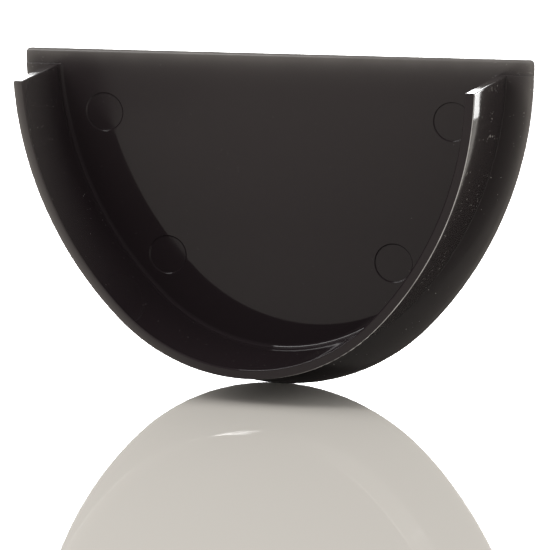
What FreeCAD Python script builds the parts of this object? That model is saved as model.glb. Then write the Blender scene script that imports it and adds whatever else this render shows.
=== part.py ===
import FreeCAD, Part
import os
from math import atan2, cos, sin, sqrt

# Gutter end cap: a one-piece plastic stop end for a deep-flow rainwater gutter.
# A flat end plate closes the gutter, and a U-shaped rim on its inner face goes inside the gutter.
# X runs across the gutter, -Y along it, into the gutter, and +Z up. Sizes are in millimetres.
# The origin is at the middle of the plate's top edge, in the plane that the gutter's cut end meets.

# The gutter that the cap closes
gutter_width = 115.0
gutter_depth = 73.75
gutter_crown_radius = 46.0
gutter_wall = 2.0
fit_clearance = 0.2

# End plate
flange_overhang = 4.0
plate_thickness = 2.0
plate_edge_radius = 0.9
plate_corner_radius = 1.2

# Raised band outside the rim, which the gutter's cut end butts against
band_height = 0.4

# Rim that goes inside the gutter: an even wall that leans in towards its tip, to go in more easily
rim_depth = 25.6
rim_drop = 3.6
rim_wall = 2.25
rim_lean = 0.4
rim_edge_radius = 0.3
rim_root_fillet = 0.9

# Ejector marks sunk in the plate's inner face, as an upper and a lower pair
mark_radius = 4.6
mark_depth = 0.2
upper_mark_drop = 14.7
upper_mark_inset = 17.8
lower_mark_drop = 48.1
lower_mark_inset = 16.0

# The gutter's outer face is a three-centred arch: two side arcs that stand upright at the top,
# and a tighter crown arc at the bottom that runs into both of them without a corner.
half_width = gutter_width / 2
crown_centre_z = gutter_crown_radius - gutter_depth
side_radius = (
    (half_width**2 + crown_centre_z**2 - gutter_crown_radius**2)
    / (gutter_width - 2 * gutter_crown_radius)
)
side_centre_x = half_width - side_radius
side_turn = atan2(-crown_centre_z, -side_centre_x)

# Each outline of the cap keeps a constant distance from that arch, outwards or, below zero, inwards.
rim_root_offset = -gutter_wall - fit_clearance
rim_tip_offset = rim_root_offset - rim_lean
hollow_root_offset = rim_root_offset - rim_wall
hollow_tip_offset = rim_tip_offset - rim_wall

plate_inner_y = band_height
plate_outer_y = band_height + plate_thickness
into_plate = FreeCAD.Vector(0, 1, 0)


def arch(offset, y):
    """The arch's outline at an offset and a depth, closed along its top."""

    def on_side(hand, angle):
        radius = side_radius + offset
        x = side_centre_x + radius * cos(angle)
        return FreeCAD.Vector(hand * x, y, radius * sin(angle))

    right_top, right_middle, right_low = (on_side(1, -side_turn * share) for share in (0, 0.5, 1))
    left_top, left_middle, left_low = (on_side(-1, -side_turn * share) for share in (0, 0.5, 1))
    bottom = FreeCAD.Vector(0, y, -gutter_depth - offset)
    return Part.Wire([
        Part.Arc(right_top, right_middle, right_low).toShape(),
        Part.Arc(right_low, bottom, left_low).toShape(),
        Part.Arc(left_low, left_middle, left_top).toShape(),
        Part.LineSegment(left_top, right_top).toShape(),
    ])


def tapered(root_offset, tip_offset):
    """The solid inside the arch from the plate's inner face to the rim's tip."""
    return Part.makeLoft(
        [arch(root_offset, plate_inner_y), arch(tip_offset, -rim_depth)], True, True
    )


def below_rim_ends(shape):
    """The shape cut off level with the rim's ends."""
    box = shape.BoundBox
    box.enlarge(1)
    cutter = Part.makeBox(
        box.XLength, box.YLength, box.ZLength, FreeCAD.Vector(box.XMin, box.YMin, -rim_drop)
    )
    return shape.cut(cutter)


def near(value, target):
    """Whether two lengths are the same."""
    return abs(value - target) < 1e-6


def edges_where(shape, test):
    """The edges of a shape whose ends and middle all pass a test."""
    found = []
    for edge in shape.Edges:
        middle = edge.valueAt((edge.FirstParameter + edge.LastParameter) / 2)
        if all(test(point) for point in [middle] + [corner.Point for corner in edge.Vertexes]):
            found.append(edge)
    return found


def curved_edges_at(shape, y):
    """The arcs of an outline that lies at one depth, without its straight top."""
    return [
        edge for edge in edges_where(shape, lambda point: near(point.y, y))
        if isinstance(edge.Curve, Part.Circle)
    ]


def end_plate():
    """The flat plate, with its top corners and then both its outlines rounded."""
    plate = Part.Face(arch(flange_overhang, plate_inner_y)).extrude(into_plate * plate_thickness)
    plate_side = half_width + flange_overhang
    corners = edges_where(plate, lambda point: near(abs(point.x), plate_side) and near(point.z, 0))
    plate = plate.makeFillet(plate_corner_radius, corners)
    outlines = edges_where(
        plate, lambda point: near(point.y, plate_inner_y) or near(point.y, plate_outer_y)
    )
    return plate.makeFillet(plate_edge_radius, outlines)


def hollow():
    """The space inside the rim, rounded where the rim's root meets the plate."""
    space = tapered(hollow_root_offset, hollow_tip_offset)
    return space.makeFillet(rim_root_fillet, curved_edges_at(space, plate_inner_y))


def seat_band(rim_outside):
    """The raised band, which shares the plate's side and ends level with the rim."""
    band = Part.Face(arch(flange_overhang, 0)).extrude(
        into_plate * (band_height + plate_thickness / 2)
    )
    band = below_rim_ends(band)
    return band.makeFillet(plate_edge_radius, curved_edges_at(band, 0)).cut(rim_outside)


def rim(rim_outside, space):
    """The leaning wall that goes inside the gutter, with all its free edges rounded."""
    wall = below_rim_ends(rim_outside).cut(space)
    tip = edges_where(wall, lambda point: near(point.y, -rim_depth))
    ends = [
        edge for edge in edges_where(wall, lambda point: near(point.z, -rim_drop))
        if edge.BoundBox.YLength > rim_depth / 2
    ]
    return wall.makeFillet(rim_edge_radius, tip + ends)


def ejector_marks():
    """Shallow round sinks with sloping sides, in mirrored pairs."""
    marks = []
    for drop, inset in ((upper_mark_drop, upper_mark_inset), (lower_mark_drop, lower_mark_inset)):
        radius = side_radius + flange_overhang - inset
        x = side_centre_x + sqrt(radius**2 - drop**2)
        for hand in (1, -1):
            centre = FreeCAD.Vector(hand * x, plate_inner_y, -drop)
            marks.append(
                Part.makeCone(mark_radius, mark_radius - mark_depth, mark_depth, centre, into_plate)
            )
    return marks


rim_outside = tapered(rim_root_offset, rim_tip_offset)
end_cap = end_plate().fuse([seat_band(rim_outside), rim(rim_outside, hollow())])
end_cap = end_cap.removeSplitter().cut(ejector_marks())

os.makedirs("parts", exist_ok=True)
end_cap.exportStep("parts/end_cap.step")
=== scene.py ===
import math

import bmesh
import bpy
from mathutils import Matrix, Vector


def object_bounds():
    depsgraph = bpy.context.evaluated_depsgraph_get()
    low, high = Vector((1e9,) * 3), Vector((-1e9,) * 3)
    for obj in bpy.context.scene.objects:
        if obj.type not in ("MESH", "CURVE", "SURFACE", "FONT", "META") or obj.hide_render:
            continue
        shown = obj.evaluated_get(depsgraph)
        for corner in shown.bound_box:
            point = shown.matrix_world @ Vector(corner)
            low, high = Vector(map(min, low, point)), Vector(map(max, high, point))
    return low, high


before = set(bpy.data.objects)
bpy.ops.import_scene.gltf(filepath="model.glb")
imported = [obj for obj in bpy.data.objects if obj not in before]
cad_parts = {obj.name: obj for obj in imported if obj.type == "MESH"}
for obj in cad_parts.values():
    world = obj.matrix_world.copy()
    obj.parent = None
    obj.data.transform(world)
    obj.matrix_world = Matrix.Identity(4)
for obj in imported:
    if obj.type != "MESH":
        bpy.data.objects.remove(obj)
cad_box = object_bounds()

# The end cap: one injection moulding in black PVC-U, a flat plate with a U-shaped rim that goes inside
# the gutter. Ejector pins leave four round marks on the plate, and storage and handling leave dust specks,
# a smear, a worn front edge and small scuffs. A pale glow of the bright surroundings is painted along the
# plate's outline, inside the rim and on the rim's front, and a painted highlight runs along the rim's outer
# front edge. Sizes are in millimetres, in the part's own frame.
MM = 0.001
PLATE_SIDE_CENTRE, PLATE_SIDE_RADIUS = (-27.73, 0, 0), 89.23
PLATE_CROWN_CENTRE, PLATE_CROWN_RADIUS = (0, 0, -27.75), 50.0
ARCS_MEET = -27.74
RIM_TIP, RIM_OUTER_EDGE, RIM_WALL = -25.6, 6.68, 2.25
UPPER_MARK, LOWER_MARK, MARK_RADIUS = (42.17, 0, -14.7), (27.5, 0, -48.1), 4.5


def hex_colour(text):
    """A linear colour from sRGB hex."""
    shares = [int(text[i:i + 2], 16) / 255 for i in (1, 3, 5)]
    return [s / 12.92 if s <= 0.04045 else ((s + 0.055) / 1.055) ** 2.4 for s in shares] + [1.0]


def node(tree, kind, settings=(), links=()):
    """Adds a node: settings go to its properties or sockets, and links name a source for a socket."""
    made = tree.nodes.new(kind)
    for key, value in dict(settings).items():
        if isinstance(key, str) and hasattr(made, key):
            setattr(made, key, value)
        else:
            made.inputs[key].default_value = value
    for socket, source in dict(links).items():
        tree.links.new(source, made.inputs[socket])
    return made


def new_material(name):
    """An empty node material and its tree."""
    material = bpy.data.materials.new(name)
    material.use_nodes = True
    material.node_tree.nodes.clear()
    return material, material.node_tree


# Injection-moulded PVC-U off a polished mould: a deep warm black that mirrors its own rim, with a
# slight ripple, and a pale film painted towards the plate's outline as the glow of the bright surroundings.
moulded_pvc, tree = new_material("moulded_black_pvc")
place = node(tree, "ShaderNodeTexCoord")
in_mm = node(
    tree, "ShaderNodeMapping", {"Scale": (1 / MM, 1 / MM, 1 / MM)}, {"Vector": place.outputs["Object"]},
)
axes = node(tree, "ShaderNodeSeparateXYZ", links={0: in_mm.outputs[0]})
x, y, z = axes.outputs

# Both halves of the cap are alike, so the distances are measured on the right half.
across = node(tree, "ShaderNodeMath", {"operation": "ABSOLUTE"}, {0: x})
on_face = node(tree, "ShaderNodeCombineXYZ", links={"X": across.outputs[0], "Z": z})

# How far a point lies inside the plate's outline: its side arc, its crown arc, or its straight top.
# The side arc turns into the crown arc on a line at 45 degrees.
CORNER_BLEND = 4.0
from_side = node(
    tree, "ShaderNodeVectorMath", {"operation": "DISTANCE", 1: PLATE_SIDE_CENTRE}, {0: on_face.outputs[0]},
)
from_crown = node(
    tree, "ShaderNodeVectorMath", {"operation": "DISTANCE", 1: PLATE_CROWN_CENTRE}, {0: on_face.outputs[0]},
)
inside_side = node(
    tree, "ShaderNodeMath", {"operation": "SUBTRACT", 0: PLATE_SIDE_RADIUS},
    {1: from_side.outputs["Value"]},
)
inside_crown = node(
    tree, "ShaderNodeMath", {"operation": "SUBTRACT", 0: PLATE_CROWN_RADIUS},
    {1: from_crown.outputs["Value"]},
)
slant = node(tree, "ShaderNodeMath", {"operation": "ADD"}, {0: across.outputs[0], 1: z})
at_crown = node(tree, "ShaderNodeMath", {"operation": "LESS_THAN", 1: ARCS_MEET}, {0: slant.outputs[0]})
inside_arcs = node(
    tree, "ShaderNodeMix",
    links={0: at_crown.outputs[0], 2: inside_side.outputs[0], 3: inside_crown.outputs[0]},
)
under_top = node(tree, "ShaderNodeMath", {"operation": "MULTIPLY", 1: -1.0}, {0: z})
inside = node(
    tree, "ShaderNodeMath", {"operation": "SMOOTH_MIN", 2: CORNER_BLEND},
    {0: inside_arcs.outputs[0], 1: under_top.outputs[0]},
)

# Painted glow on the inner side, in patches about 9 mm wide: a pale film painted where the bright
# surroundings glow over the plate's edge, thick at the outline and gone 10 mm inside it, with a thin tail
# that is half as strong on the left. It is thinner towards the bottom, and a faint veil of it lies over the
# upper half. Nearly all of a noise lies between its low and its high.
NOISE_LOW, NOISE_HIGH = 0.3, 0.7
GLOW_WIDTH, GLOW_PATCH = 10.0, 9.0
GLOW_FALL, GLOW_LEAST, GLOW_MOST = 6.0, 0.33, 0.45
TAIL_FALL, TAIL_MOST = 2.0, 0.08
GLOW_DIM_X, GLOW_FULL_X, GLOW_DIM_SHARE = -45.0, -5.0, 0.5
THIN_Z, FULL_Z, THIN_SHARE = -60.0, -10.0, 0.4
VEIL_FOOT, VEIL_MOST = -40.0, 0.03
OUTER_SIDE, INNER_SIDE = 2.1, 1.1
glow_near = node(
    tree, "ShaderNodeMapRange", {"From Min": GLOW_WIDTH, "From Max": 0.0}, {"Value": inside.outputs[0]},
)
glow_fade = node(tree, "ShaderNodeMath", {"operation": "POWER", 1: GLOW_FALL}, {0: glow_near.outputs[0]})
glow_patches = node(
    tree, "ShaderNodeTexNoise", {"Scale": 1 / GLOW_PATCH, "Detail": 5.0}, {"Vector": in_mm.outputs[0]},
)
glow_share = node(
    tree, "ShaderNodeMapRange",
    {"From Min": NOISE_LOW, "From Max": NOISE_HIGH, "To Min": GLOW_LEAST, "To Max": GLOW_MOST},
    {"Value": glow_patches.outputs["Fac"]},
)
glow_tail = node(tree, "ShaderNodeMath", {"operation": "POWER", 1: TAIL_FALL}, {0: glow_near.outputs[0]})
glow_x_share = node(
    tree, "ShaderNodeMapRange", {"From Min": GLOW_DIM_X, "From Max": GLOW_FULL_X, "To Min": GLOW_DIM_SHARE},
    {"Value": x},
)
tail_left = node(
    tree, "ShaderNodeMath", {"operation": "MULTIPLY"}, {0: glow_tail.outputs[0], 1: glow_x_share.outputs[0]},
)
glow_thin = node(tree, "ShaderNodeMath", {"operation": "MULTIPLY", 1: TAIL_MOST}, {0: tail_left.outputs[0]})
glow_patchy = node(
    tree, "ShaderNodeMath", {"operation": "MULTIPLY_ADD"},
    {0: glow_fade.outputs[0], 1: glow_share.outputs[0], 2: glow_thin.outputs[0]},
)
glow_by_height = node(
    tree, "ShaderNodeMapRange", {"From Min": THIN_Z, "From Max": FULL_Z, "To Min": THIN_SHARE},
    {"Value": z},
)
glow_veil = node(
    tree, "ShaderNodeMapRange", {"From Min": VEIL_FOOT, "From Max": 0.0, "To Max": VEIL_MOST}, {"Value": z},
)
veil_left = node(
    tree, "ShaderNodeMath", {"operation": "MULTIPLY"}, {0: glow_veil.outputs[0], 1: glow_x_share.outputs[0]},
)
glow_spread = node(
    tree, "ShaderNodeMath", {"operation": "MULTIPLY_ADD"},
    {0: glow_patchy.outputs[0], 1: glow_by_height.outputs[0], 2: veil_left.outputs[0]},
)
inner_side = node(
    tree, "ShaderNodeMapRange", {"From Min": OUTER_SIDE, "From Max": INNER_SIDE}, {"Value": y},
)
glow_outline = node(
    tree, "ShaderNodeMath", {"operation": "MULTIPLY"}, {0: glow_spread.outputs[0], 1: inner_side.outputs[0]},
)

# Inside the rim, the painted glow is lighter towards the tip and the two upper ends. The front face stays
# clear of it.
WALL_SIDE, HOLLOW_SIDE, TIP_GLOW = 8.3, 8.4, 0.15
TIP_GLOW_START = -6.0
ENDS_START, ENDS_FULL = -55.0, -12.0
FRONT_FACE = 0.2
rim_inside = node(
    tree, "ShaderNodeMapRange", {"From Min": WALL_SIDE, "From Max": HOLLOW_SIDE, "To Max": TIP_GLOW},
    {"Value": inside_arcs.outputs[0]},
)
near_tip = node(
    tree, "ShaderNodeMapRange", {"From Min": TIP_GLOW_START, "From Max": RIM_TIP}, {"Value": y},
)
near_ends = node(
    tree, "ShaderNodeMapRange", {"From Min": ENDS_START, "From Max": ENDS_FULL}, {"Value": z},
)
off_front = node(
    tree, "ShaderNodeMath", {"operation": "GREATER_THAN", 1: RIM_TIP + FRONT_FACE}, {0: y},
)
tip_glow = node(
    tree, "ShaderNodeMath", {"operation": "MULTIPLY"}, {0: near_tip.outputs[0], 1: near_ends.outputs[0]},
)
glow_sides = node(
    tree, "ShaderNodeMath", {"operation": "MULTIPLY_ADD"},
    {0: tip_glow.outputs[0], 1: rim_inside.outputs[0], 2: glow_outline.outputs[0]},
)
glow_behind = node(
    tree, "ShaderNodeMath", {"operation": "MULTIPLY"}, {0: glow_sides.outputs[0], 1: off_front.outputs[0]},
)

# The rim's front face gets a painted glow on its left half, a pale grey that is strongest along its outer
# edge.
FRONT_GLOW_FALL, FRONT_GLOW_LEAST, FRONT_GLOW_MOST = 2.0, 0.25, 0.45
FRONT_GLOW_START, FRONT_GLOW_FULL = -8.0, -50.0
on_front = node(tree, "ShaderNodeMath", {"operation": "SUBTRACT", 0: 1.0}, {1: off_front.outputs[0]})
front_across = node(
    tree, "ShaderNodeMapRange", {"From Min": RIM_OUTER_EDGE + RIM_WALL, "From Max": RIM_OUTER_EDGE},
    {"Value": inside_arcs.outputs[0]},
)
front_curve = node(tree, "ShaderNodeMath", {"operation": "POWER", 1: FRONT_GLOW_FALL}, {0: front_across.outputs[0]})
front_share = node(tree, "ShaderNodeMapRange", {"To Min": FRONT_GLOW_LEAST}, {"Value": front_curve.outputs[0]})
front_left = node(
    tree, "ShaderNodeMapRange", {"From Min": FRONT_GLOW_START, "From Max": FRONT_GLOW_FULL, "To Max": FRONT_GLOW_MOST},
    {"Value": x},
)
front_glow = node(
    tree, "ShaderNodeMath", {"operation": "MULTIPLY"}, {0: front_share.outputs[0], 1: front_left.outputs[0]},
)
# All the painted glow together: the inner side's, the rim's and the front face's.
painted_glow = node(
    tree, "ShaderNodeMath", {"operation": "MULTIPLY_ADD"},
    {0: front_glow.outputs[0], 1: on_front.outputs[0], 2: glow_behind.outputs[0]},
)

# The rim's outer front edge is painted pale along a line 0.18 mm wide, which fades out at the bottom and
# shows more in some places than in others. It is wear, and a painted highlight of that edge.
EDGE_LINE_WIDTH, EDGE_LINE_SPACING, EDGE_LINE_LEAST = 0.18, 6.0, 0.4
EDGE_LINE_START, EDGE_LINE_FULL = 5.0, 30.0
on_edge = node(
    tree, "ShaderNodeMath", {"operation": "COMPARE", 1: RIM_OUTER_EDGE, 2: EDGE_LINE_WIDTH / 2},
    {0: inside_arcs.outputs[0]},
)
at_tip = node(tree, "ShaderNodeMath", {"operation": "LESS_THAN", 1: RIM_TIP + EDGE_LINE_WIDTH}, {0: y})
edge_line = node(
    tree, "ShaderNodeMath", {"operation": "MULTIPLY"}, {0: on_edge.outputs[0], 1: at_tip.outputs[0]},
)
edge_line_places = node(
    tree, "ShaderNodeTexNoise", {"Scale": 1 / EDGE_LINE_SPACING, "Detail": 4.0}, {"Vector": in_mm.outputs[0]},
)
edge_line_share = node(
    tree, "ShaderNodeMapRange", {"From Min": NOISE_LOW, "From Max": NOISE_HIGH, "To Min": EDGE_LINE_LEAST},
    {"Value": edge_line_places.outputs["Fac"]},
)
edge_line_side = node(
    tree, "ShaderNodeMapRange", {"From Min": EDGE_LINE_START, "From Max": EDGE_LINE_FULL}, {"Value": across.outputs[0]},
)
edge_line_fade = node(
    tree, "ShaderNodeMath", {"operation": "MULTIPLY"}, {0: edge_line.outputs[0], 1: edge_line_side.outputs[0]},
)
wear_and_highlight = node(
    tree, "ShaderNodeMath", {"operation": "MULTIPLY"}, {0: edge_line_fade.outputs[0], 1: edge_line_share.outputs[0]},
)

# Dust specks in drifts about 7 mm wide, thick on the rim's outside, and smaller inside it and on the
# plate. Real grains are finer: these are up to 0.6 mm across, so that they show.
SPECK_SPACING, SPECK_RADIUS, DRIFT_WIDTH = 0.8, 0.3, 7.0
EMPTY_PLACES = 0.55
DRIFT_EDGE, DRIFT_FULL = 0.38, 0.58
RIM_HOLLOW, RIM_OUTSIDE, SMALLER = 8.2, 7.0, 0.4
PLATE_FACE, OFF_PLATE = -0.2, -1.5
specks = node(
    tree, "ShaderNodeTexVoronoi", {"Scale": 1 / SPECK_SPACING}, {"Vector": in_mm.outputs[0]},
)
speck_draw = node(tree, "ShaderNodeSeparateColor", links={0: specks.outputs["Color"]})
speck_size = node(
    tree, "ShaderNodeMapRange", {"From Min": EMPTY_PLACES, "To Max": SPECK_RADIUS / SPECK_SPACING},
    {"Value": speck_draw.outputs[0]},
)
outside_rim = node(
    tree, "ShaderNodeMapRange", {"From Min": RIM_HOLLOW, "From Max": RIM_OUTSIDE, "To Min": SMALLER},
    {"Value": inside_arcs.outputs[0]},
)
drifts = node(
    tree, "ShaderNodeTexNoise", {"Scale": 1 / DRIFT_WIDTH, "Detail": 2.0}, {"Vector": in_mm.outputs[0]},
)
drift = node(
    tree, "ShaderNodeMapRange", {"From Min": DRIFT_EDGE, "From Max": DRIFT_FULL},
    {"Value": drifts.outputs["Fac"]},
)
off_plate = node(
    tree, "ShaderNodeMapRange", {"From Min": PLATE_FACE, "From Max": OFF_PLATE, "To Min": SMALLER},
    {"Value": y},
)
dust_share = node(
    tree, "ShaderNodeMath", {"operation": "MULTIPLY"}, {0: outside_rim.outputs[0], 1: off_plate.outputs[0]},
)
dust_drift = node(
    tree, "ShaderNodeMath", {"operation": "MULTIPLY"}, {0: dust_share.outputs[0], 1: drift.outputs[0]},
)
dusty = node(
    tree, "ShaderNodeMath", {"operation": "MULTIPLY"}, {0: dust_drift.outputs[0], 1: off_front.outputs[0]},
)
speck_reach = node(
    tree, "ShaderNodeMath", {"operation": "MULTIPLY"}, {0: speck_size.outputs[0], 1: dusty.outputs[0]},
)
speck = node(
    tree, "ShaderNodeMath", {"operation": "LESS_THAN"},
    {0: specks.outputs["Distance"], 1: speck_reach.outputs[0]},
)

# Scuffs at the rim's two upper ends: short pale rubs about 1 mm long.
SCUFF_LENGTH, SCUFF_EDGE, SCUFF_FULL = 1.0, 0.64, 0.85
END_FOOT, END_TOP = -6.0, -3.0
END_INNER, END_OUTER = 49.0, 53.0
scuff_marks = node(
    tree, "ShaderNodeTexNoise", {"Scale": 1 / SCUFF_LENGTH, "Detail": 4.0, "Distortion": 1.5},
    {"Vector": in_mm.outputs[0]},
)
scuffed = node(
    tree, "ShaderNodeMapRange", {"From Min": SCUFF_EDGE, "From Max": SCUFF_FULL},
    {"Value": scuff_marks.outputs["Fac"]},
)
end_height = node(tree, "ShaderNodeMapRange", {"From Min": END_FOOT, "From Max": END_TOP}, {"Value": z})
end_side = node(
    tree, "ShaderNodeMapRange", {"From Min": END_INNER, "From Max": END_OUTER}, {"Value": across.outputs[0]},
)
at_end = node(
    tree, "ShaderNodeMath", {"operation": "MULTIPLY"}, {0: end_height.outputs[0], 1: end_side.outputs[0]},
)
scuff = node(tree, "ShaderNodeMath", {"operation": "MULTIPLY"}, {0: scuffed.outputs[0], 1: at_end.outputs[0]})

# The ejector marks' floors keep the pins' turned ends. A real pin's grain is finer: this one is 0.6 mm,
# so that it shows. It is on the plate's inner face only.
PIN_GRAIN, INNER_FACE = 0.6, 1.5
from_upper = node(
    tree, "ShaderNodeVectorMath", {"operation": "DISTANCE", 1: UPPER_MARK}, {0: on_face.outputs[0]},
)
from_lower = node(
    tree, "ShaderNodeVectorMath", {"operation": "DISTANCE", 1: LOWER_MARK}, {0: on_face.outputs[0]},
)
from_mark = node(
    tree, "ShaderNodeMath", {"operation": "MINIMUM"},
    {0: from_upper.outputs["Value"], 1: from_lower.outputs["Value"]},
)
in_mark = node(tree, "ShaderNodeMath", {"operation": "LESS_THAN", 1: MARK_RADIUS}, {0: from_mark.outputs[0]})
inner_face = node(tree, "ShaderNodeMath", {"operation": "LESS_THAN", 1: INNER_FACE}, {0: y})
mark_floor = node(
    tree, "ShaderNodeMath", {"operation": "MULTIPLY"}, {0: in_mark.outputs[0], 1: inner_face.outputs[0]},
)
pin_grain = node(
    tree, "ShaderNodeTexNoise", {"Scale": 1 / PIN_GRAIN, "Detail": 3.0}, {"Vector": in_mm.outputs[0]},
)
grain = node(
    tree, "ShaderNodeMath", {"operation": "MULTIPLY"},
    {0: mark_floor.outputs[0], 1: pin_grain.outputs["Fac"]},
)

# Heights: a flow ripple 14 mm long, the pins' grain, and the specks standing proud.
RIPPLE_LENGTH, RIPPLE_HEIGHT, GRAIN_HEIGHT, SPECK_HEIGHT = 14.0, 0.006, 0.008, 0.03
ripple = node(
    tree, "ShaderNodeTexNoise", {"Scale": 1 / RIPPLE_LENGTH, "Detail": 1.0}, {"Vector": in_mm.outputs[0]},
)
ripple_height = node(
    tree, "ShaderNodeMath", {"operation": "MULTIPLY", 1: RIPPLE_HEIGHT}, {0: ripple.outputs["Fac"]},
)
grain_height = node(
    tree, "ShaderNodeMath", {"operation": "MULTIPLY_ADD", 1: GRAIN_HEIGHT},
    {0: grain.outputs[0], 2: ripple_height.outputs[0]},
)
height = node(
    tree, "ShaderNodeMath", {"operation": "MULTIPLY_ADD", 1: SPECK_HEIGHT},
    {0: speck.outputs[0], 2: grain_height.outputs[0]},
)

# Every moulded corner has a tiny radius, which catches the light.
CORNER_RADIUS = 0.2
corner = node(tree, "ShaderNodeBevel", {"samples": 6, "Radius": CORNER_RADIUS * MM})
relief = node(
    tree, "ShaderNodeBump", {"Distance": MM}, {"Height": height.outputs[0], "Normal": corner.outputs[0]},
)

# Smudges about 20 mm wide, the pins' grain, the scuffs and the painted glow take the edge off the gloss.
SMUDGE_WIDTH, GLOSS_CLEAN, GLOSS_SMUDGED = 20.0, 0.03, 0.06
MARK_DULLS, SCUFF_DULLS, GLOW_DULLS = 0.06, 0.4, 0.3
smudges = node(
    tree, "ShaderNodeTexNoise", {"Scale": 1 / SMUDGE_WIDTH, "Detail": 6.0}, {"Vector": in_mm.outputs[0]},
)
gloss = node(
    tree, "ShaderNodeMapRange",
    {"From Min": NOISE_LOW, "From Max": NOISE_HIGH, "To Min": GLOSS_CLEAN, "To Max": GLOSS_SMUDGED},
    {"Value": smudges.outputs["Fac"]},
)
gloss_mark = node(
    tree, "ShaderNodeMath", {"operation": "MULTIPLY_ADD", 1: MARK_DULLS},
    {0: mark_floor.outputs[0], 2: gloss.outputs[0]},
)
gloss_scuff = node(
    tree, "ShaderNodeMath", {"operation": "MULTIPLY_ADD", 1: SCUFF_DULLS},
    {0: scuff.outputs[0], 2: gloss_mark.outputs[0]},
)
gloss_glow = node(
    tree, "ShaderNodeMath", {"operation": "MULTIPLY_ADD", 1: GLOW_DULLS},
    {0: painted_glow.outputs[0], 2: gloss_scuff.outputs[0]},
)

# A hand has wiped over the plate's upper left corner, and its smear blurs what the gloss mirrors there.
SMEAR_FOOT, SMEAR_TOP = -23.0, -12.0
SMEAR_START, SMEAR_FULL, SMEAR_DULLS = -5.0, -25.0, 0.24
smear_up = node(tree, "ShaderNodeMapRange", {"From Min": SMEAR_FOOT, "From Max": SMEAR_TOP}, {"Value": z})
smear_left = node(
    tree, "ShaderNodeMapRange", {"From Min": SMEAR_START, "From Max": SMEAR_FULL, "To Max": SMEAR_DULLS},
    {"Value": x},
)
smear_corner = node(
    tree, "ShaderNodeMath", {"operation": "MULTIPLY"}, {0: smear_up.outputs[0], 1: smear_left.outputs[0]},
)
smear = node(
    tree, "ShaderNodeMath", {"operation": "MULTIPLY"}, {0: smear_corner.outputs[0], 1: inner_side.outputs[0]},
)
dulled = node(
    tree, "ShaderNodeMath", {"operation": "MAXIMUM"}, {0: gloss_glow.outputs[0], 1: smear.outputs[0]},
)

# The warm black, and over it the painted glow, the scuffs, the worn edge with its painted highlight and the
# specks, each a pale grey.
PVC_BLACK, GLOW_GREY, SCUFF_GREY = "#221c1e", "#98938e", "#8a8580"
WEAR_AND_HIGHLIGHT_GREY, SPECK_GREY = "#dddad7", "#9f9b96"
PVC_IOR = 1.43
# The painted glow's pale grey goes on first.
glow_coloured = node(
    tree, "ShaderNodeMix", {"data_type": "RGBA", 6: hex_colour(PVC_BLACK), 7: hex_colour(GLOW_GREY)},
    {0: painted_glow.outputs[0]},
)
rubbed = node(
    tree, "ShaderNodeMix", {"data_type": "RGBA", 7: hex_colour(SCUFF_GREY)},
    {0: scuff.outputs[0], 6: glow_coloured.outputs[2]},
)
# The worn edge's pale grey is also that edge's painted highlight.
worn_and_highlighted = node(
    tree, "ShaderNodeMix", {"data_type": "RGBA", 7: hex_colour(WEAR_AND_HIGHLIGHT_GREY)},
    {0: wear_and_highlight.outputs[0], 6: rubbed.outputs[2]},
)
dusted = node(
    tree, "ShaderNodeMix", {"data_type": "RGBA", 7: hex_colour(SPECK_GREY)},
    {0: speck.outputs[0], 6: worn_and_highlighted.outputs[2]},
)
surface = node(
    tree, "ShaderNodeBsdfPrincipled", {"IOR": PVC_IOR},
    {"Base Color": dusted.outputs[2], "Roughness": dulled.outputs[0], "Normal": relief.outputs[0]},
)
node(tree, "ShaderNodeOutputMaterial", links={"Surface": surface.outputs[0]})

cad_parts["end_cap"].material_slots[0].material = moulded_pvc

# The table: one wide sheet of white acrylic, polished, so that it mirrors what stands on it. The cap
# stands rolled by 1 degree on its round edge, and since the part keeps its own frame, the table is
# rolled under it instead, about the centre of the crown, which keeps the two in touch.
TABLE_REACH, TABLE_ROLL = 3.0, 1.0
ACRYLIC_WHITE, ACRYLIC_POLISH, ACRYLIC_IOR = "#d7d2ca", 0.02, 1.49
scene = bpy.context.scene
floor_level = cad_box[0].z
sheet = bmesh.new()
bmesh.ops.create_grid(sheet, x_segments=1, y_segments=1, size=TABLE_REACH)
bmesh.ops.translate(sheet, verts=sheet.verts, vec=(0, 0, floor_level))
bmesh.ops.rotate(
    sheet, cent=Vector(PLATE_CROWN_CENTRE) * MM,
    matrix=Matrix.Rotation(math.radians(TABLE_ROLL), 3, "Y"), verts=sheet.verts,
)
table = bpy.data.objects.new("table", bpy.data.meshes.new("table"))
sheet.to_mesh(table.data)
sheet.free()
scene.collection.objects.link(table)

# Cast acrylic sheet, polished: a clean warm white under a clear mirror.
white_acrylic, tree = new_material("polished_white_acrylic")
polish = node(
    tree, "ShaderNodeBsdfPrincipled",
    {"Base Color": hex_colour(ACRYLIC_WHITE), "Roughness": ACRYLIC_POLISH, "IOR": ACRYLIC_IOR},
)
node(tree, "ShaderNodeOutputMaterial", links={"Surface": polish.outputs[0]})
table.data.materials.append(white_acrylic)

# Studio light, in metres: soft boxes with even white fronts. Two stand low behind the table as a lit
# backdrop, with a gap straight behind the plate, whose outer face stays dark. A long strip light hangs
# above, in front to the left.
BACKDROP_AWAY, BACKDROP_RADIANCE = 1.5, 10
BACKDROP_X, BACKDROP_WIDTH, BACKDROP_HEIGHT = -0.53, 0.66, 0.48
WING_X, WING_WIDTH, WING_HEIGHT = 0.485, 0.25, 0.28
STRIP_PLACE, STRIP_TARGET = (-0.6, -0.42, 0.55), (-0.6, 0, -0.04)
STRIP_WIDTH, STRIP_HEIGHT, STRIP_RADIANCE = 0.8, 0.26, 6.5


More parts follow.
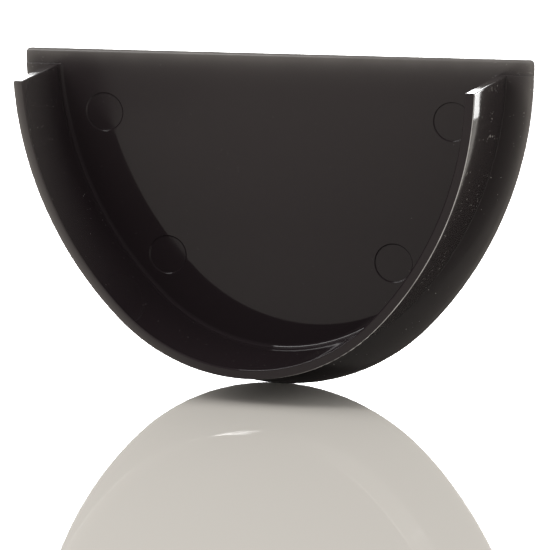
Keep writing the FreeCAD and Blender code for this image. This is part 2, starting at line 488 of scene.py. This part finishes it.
def soft_box(name, centre, target, width, height, radiance):
    """A rectangular lamp at a place, facing a target."""
    lamp = bpy.data.lights.new(name, "AREA")
    lamp.shape = "RECTANGLE"
    lamp.size, lamp.size_y = width, height
    lamp.energy = radiance * math.pi * width * height
    box = bpy.data.objects.new(name, lamp)
    box.location = centre
    box.rotation_euler = (Vector(target) - Vector(centre)).to_track_quat("-Z", "Y").to_euler()
    scene.collection.objects.link(box)


for name, side, wide, tall in (
    ("backdrop", BACKDROP_X, BACKDROP_WIDTH, BACKDROP_HEIGHT),
    ("backdrop_wing", WING_X, WING_WIDTH, WING_HEIGHT),
):
    middle = floor_level + tall / 2
    soft_box(name, (side, BACKDROP_AWAY, middle), (side, 0, middle), wide, tall, BACKDROP_RADIANCE)
soft_box("strip_light", STRIP_PLACE, STRIP_TARGET, STRIP_WIDTH, STRIP_HEIGHT, STRIP_RADIANCE)

# The room: plain white to the camera. The gloss mirrors it dim in front and brighter behind the table.
# A soft fill comes from above, in front to the right, and it is weaker near the horizon.
ROOM_WHITE = hex_colour("#ffffff")
ROOM_FRONT, ROOM_BACK = 0.05, 0.4
FRONT_ENDS, BACK_STARTS = -0.2, 0.6
FILL_FROM, FILL_FULL = (0.32, -0.58, 0.75), 0.8
FILL_LEAST, FILL_MOST = 0.3, 1.33
HORIZON_LOW, HORIZON_HIGH, HORIZON_SHARE = 0.05, 0.45, 0.35
room = bpy.data.worlds.new("room")
room.use_nodes = True
scene.world = room
tree = room.node_tree
tree.nodes.clear()
ray = node(tree, "ShaderNodeLightPath")
seen = node(
    tree, "ShaderNodeMath", {"operation": "MAXIMUM"},
    {0: ray.outputs["Is Glossy Ray"], 1: ray.outputs["Is Transmission Ray"]},
)
aim = node(tree, "ShaderNodeTexCoord")
split = node(tree, "ShaderNodeSeparateXYZ", links={0: aim.outputs["Generated"]})
fill_side = node(
    tree, "ShaderNodeVectorMath", {"operation": "DOT_PRODUCT", 1: FILL_FROM}, {0: aim.outputs["Generated"]},
)
depth = node(
    tree, "ShaderNodeMapRange",
    {"From Min": FRONT_ENDS, "From Max": BACK_STARTS, "To Min": ROOM_FRONT, "To Max": ROOM_BACK},
    {"Value": split.outputs["Y"]},
)
rise = node(
    tree, "ShaderNodeMapRange", {"From Max": FILL_FULL, "To Min": FILL_LEAST, "To Max": FILL_MOST},
    {"Value": fill_side.outputs["Value"]},
)
horizon = node(
    tree, "ShaderNodeMapRange",
    {"From Min": HORIZON_LOW, "From Max": HORIZON_HIGH, "To Min": HORIZON_SHARE},
    {"Value": split.outputs["Z"]},
)
overhead = node(
    tree, "ShaderNodeMath", {"operation": "MULTIPLY"}, {0: rise.outputs[0], 1: horizon.outputs[0]},
)
fill = node(tree, "ShaderNodeBackground", {"Color": ROOM_WHITE}, {"Strength": overhead.outputs[0]})
studio = node(tree, "ShaderNodeBackground", {"Color": ROOM_WHITE}, {"Strength": depth.outputs[0]})
white = node(tree, "ShaderNodeBackground", {"Color": ROOM_WHITE, "Strength": 1.0})
mirrored = node(
    tree, "ShaderNodeMixShader", links={0: seen.outputs[0], 1: fill.outputs[0], 2: studio.outputs[0]},
)
shown = node(
    tree, "ShaderNodeMixShader",
    links={0: ray.outputs["Is Camera Ray"], 1: mirrored.outputs[0], 2: white.outputs[0]},
)
node(tree, "ShaderNodeOutputWorld", links={"Surface": shown.outputs[0]})

# The camera: a long lens, in front of the cap to its right and a little above it.
AZIMUTH, ELEVATION, ROLL = 18.02, 11.25, -1.354
TARGET = Vector((-1.16, 0, -51.89)) * MM
DISTANCE = 1164.2 * MM
LENS, SENSOR_WIDTH = 328.1, 36
camera = bpy.data.objects.new("camera", bpy.data.cameras.new("camera"))
camera.data.sensor_width = SENSOR_WIDTH
camera.data.lens = LENS
turn = (
    Matrix.Rotation(math.radians(AZIMUTH), 3, "Z")
    @ Matrix.Rotation(math.radians(90 - ELEVATION), 3, "X")
    @ Matrix.Rotation(math.radians(ROLL), 3, "Z")
)
camera.location = TARGET + turn @ Vector((0, 0, DISTANCE))
camera.rotation_euler = turn.to_euler()
scene.collection.objects.link(camera)
scene.camera = camera

scene.view_settings.view_transform = "Standard"
